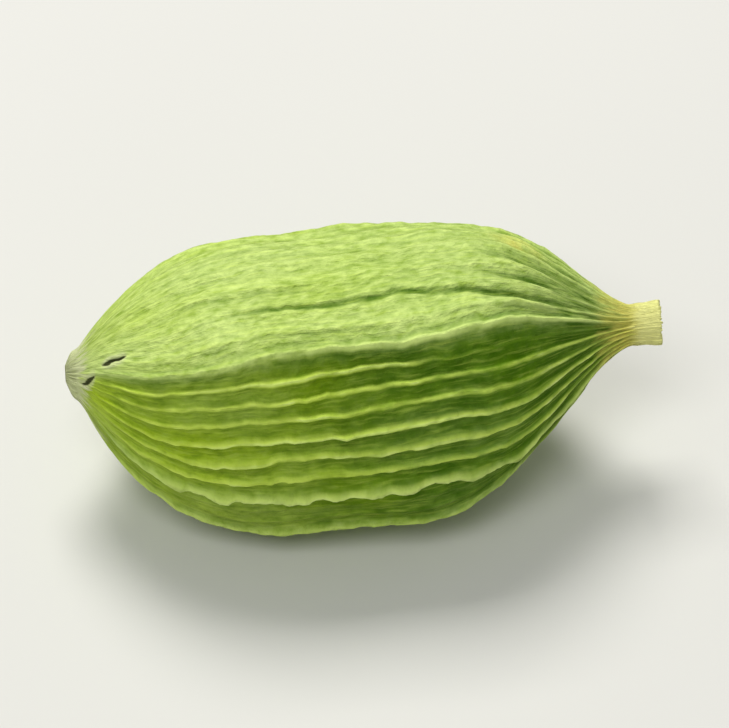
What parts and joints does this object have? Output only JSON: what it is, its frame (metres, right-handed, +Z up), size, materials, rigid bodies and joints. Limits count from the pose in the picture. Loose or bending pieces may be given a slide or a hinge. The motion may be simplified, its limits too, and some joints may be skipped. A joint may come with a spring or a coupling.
{
  "type": "green cardamom pod",
  "caption": "Whole dried green cardamom pod lying on its side: plump three-cornered ribbed husk with a blunt nose and a short dry hollow stub.",
  "frame": {"origin": "on the surface that the pod lies on, under the middle of its bounding box", "axes": "+X along the pod from its blunt nose to its stub, +Z up, -Y towards the deeply ribbed front face"},
  "size_m": [0.017, 0.0088, 0.0082],
  "materials": {
    "green_husk": "dry, matt, ribbed plant husk, pale green with dark grooves and straw-coloured ends"
  },
  "bodies": {
    "root": {"pod": "green_husk"}
  },
  "joints": []
}
